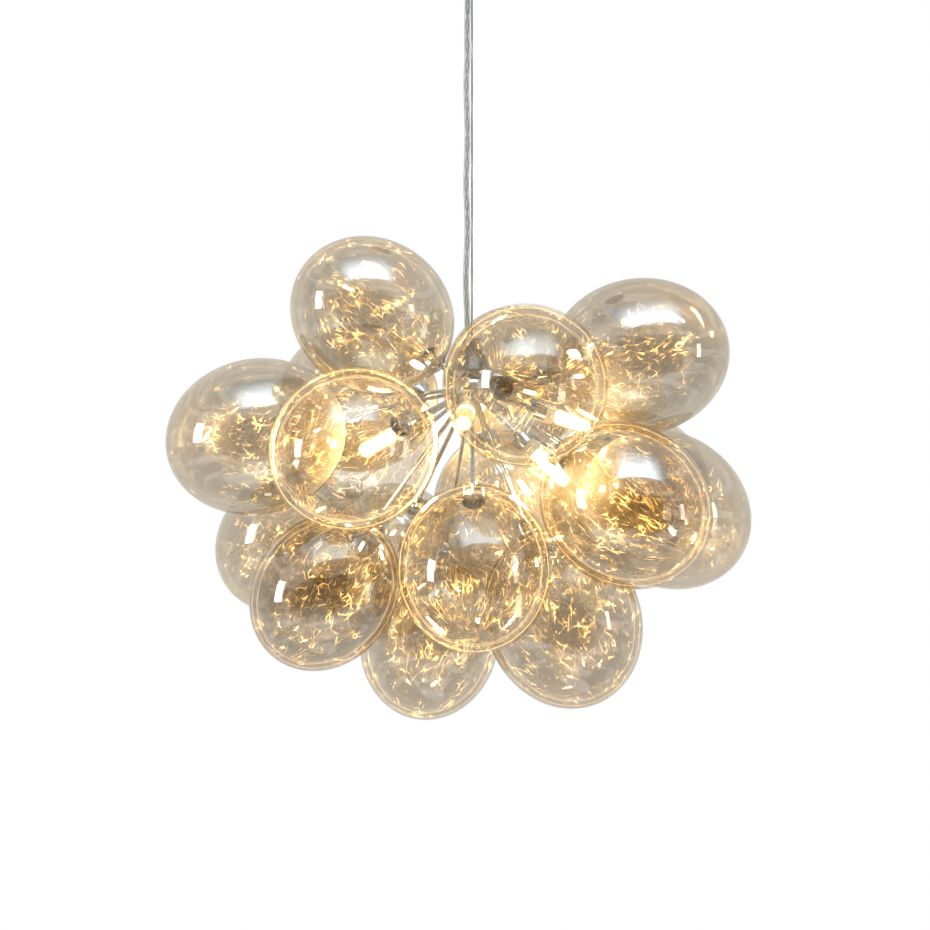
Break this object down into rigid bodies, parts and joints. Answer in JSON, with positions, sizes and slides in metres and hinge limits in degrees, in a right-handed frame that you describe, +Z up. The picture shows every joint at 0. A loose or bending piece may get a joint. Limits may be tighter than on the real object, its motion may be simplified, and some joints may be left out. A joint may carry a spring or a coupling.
{
  "type": "pendant light",
  "caption": "Cluster of oval champagne glass globes on thin chrome arms around a ball hub with capsule lamps, hung from a chrome ceiling cup by a steel wire and a clear cable.",
  "frame": {"origin": "centre of the ceiling bracket's top face, on the ceiling, above the suspension wire", "axes": "+Z up into the ceiling, +X to the right of someone facing the light as in the picture, +Y away from them"},
  "size_m": [0.5017, 0.4966, 0.6761],
  "materials": {
    "champagne_glass": "thin blown champagne glass, lightly mirrored, clear and glossy",
    "chrome": "polished chrome plate",
    "dark_chrome": "polished dark chrome plate",
    "steel": "bare stranded steel wire and turned fittings",
    "zinc": "dull zinc-plated sheet steel",
    "clear_cable": "clear flexible plastic over two tinned cores",
    "ceramic": "white glazed ceramic lamp socket",
    "lamp_glass": "warm lit capsule bulb",
    "terminal_plastic": "white moulded nylon"
  },
  "bodies": {
    "ceiling": {"ceiling_bracket": "zinc", "terminal_block": "terminal_plastic", "ceiling_cup": "chrome", "cup_ring_nut": "chrome", "cord_grip": "chrome"},
    "wire_ball": {"wire_ball": "steel"},
    "drop": {"suspension_wire": "steel", "power_cable": "clear_cable", "wire_ferrule": "steel"},
    "head": {"top_cap": "dark_chrome", "hub_ball": "chrome", "arm_01": "chrome", "arm_02": "chrome", "arm_03": "chrome", "arm_04": "chrome", "arm_05": "chrome", "arm_06": "chrome", "arm_07": "chrome", "arm_08": "chrome", "arm_09": "chrome", "arm_10": "chrome", "arm_11": "chrome", "arm_12": "chrome", "arm_13": "chrome", "arm_14": "chrome", "arm_15": "chrome", "arm_16": "chrome", "arm_17": "chrome", "globe_01": "champagne_glass", "globe_02": "champagne_glass", "globe_03": "champagne_glass", "globe_04": "champagne_glass", "globe_05": "champagne_glass", "globe_06": "champagne_glass", "globe_07": "champagne_glass", "globe_08": "champagne_glass", "globe_09": "champagne_glass", "globe_10": "champagne_glass", "globe_11": "champagne_glass", "globe_12": "champagne_glass", "globe_13": "champagne_glass", "globe_14": "champagne_glass", "globe_15": "champagne_glass", "globe_16": "champagne_glass", "globe_17": "champagne_glass", "lamp_cup_1": "chrome", "lamp_cup_2": "chrome", "lamp_cup_3": "chrome", "lamp_cup_4": "chrome", "lamp_cup_5": "chrome", "lamp_socket_1": "ceramic", "lamp_socket_2": "ceramic", "lamp_socket_3": "ceramic", "lamp_socket_4": "ceramic", "lamp_socket_5": "ceramic"},
    "bulb_1": {"bulb_1": "lamp_glass"},
    "bulb_2": {"bulb_2": "lamp_glass"},
    "bulb_3": {"bulb_3": "lamp_glass"},
    "bulb_4": {"bulb_4": "lamp_glass"},
    "bulb_5": {"bulb_5": "lamp_glass"}
  },
  "joints": [
    {"name": "nod", "type": "hinge", "parent": "ceiling", "child": "wire_ball", "pos_m": [0, 0, -0.0364], "axis": [1, 0, 0], "range_deg": [-15, 15]},
    {"name": "sway", "type": "hinge", "parent": "wire_ball", "child": "drop", "pos_m": [0, 0, -0.0364], "axis": [0, 1, 0], "range_deg": [-15, 15]},
    {"name": "turn", "type": "hinge", "parent": "drop", "child": "head", "pos_m": [0, 0, -0.3456], "axis": [0, 0, 1], "range_deg": [-180, 180]},
    {"name": "bulb_1_pull", "type": "slide", "parent": "head", "child": "bulb_1", "axis": [-0.0671, -0.9589, -0.2756], "range_m": [0, 0.012]},
    {"name": "bulb_2_pull", "type": "slide", "parent": "head", "child": "bulb_2", "axis": [-0.8002, -0.3731, -0.4695], "range_m": [0, 0.012]},
    {"name": "bulb_3_pull", "type": "slide", "parent": "head", "child": "bulb_3", "axis": [0.6915, -0.1983, -0.6947], "range_m": [0, 0.012]},
    {"name": "bulb_4_pull", "type": "slide", "parent": "head", "child": "bulb_4", "axis": [0.8782, 0.391, -0.2756], "range_m": [0, 0.012]},
    {"name": "bulb_5_pull", "type": "slide", "parent": "head", "child": "bulb_5", "axis": [-0.0838, 0.9576, -0.2756], "range_m": [0, 0.012]}
  ]
}
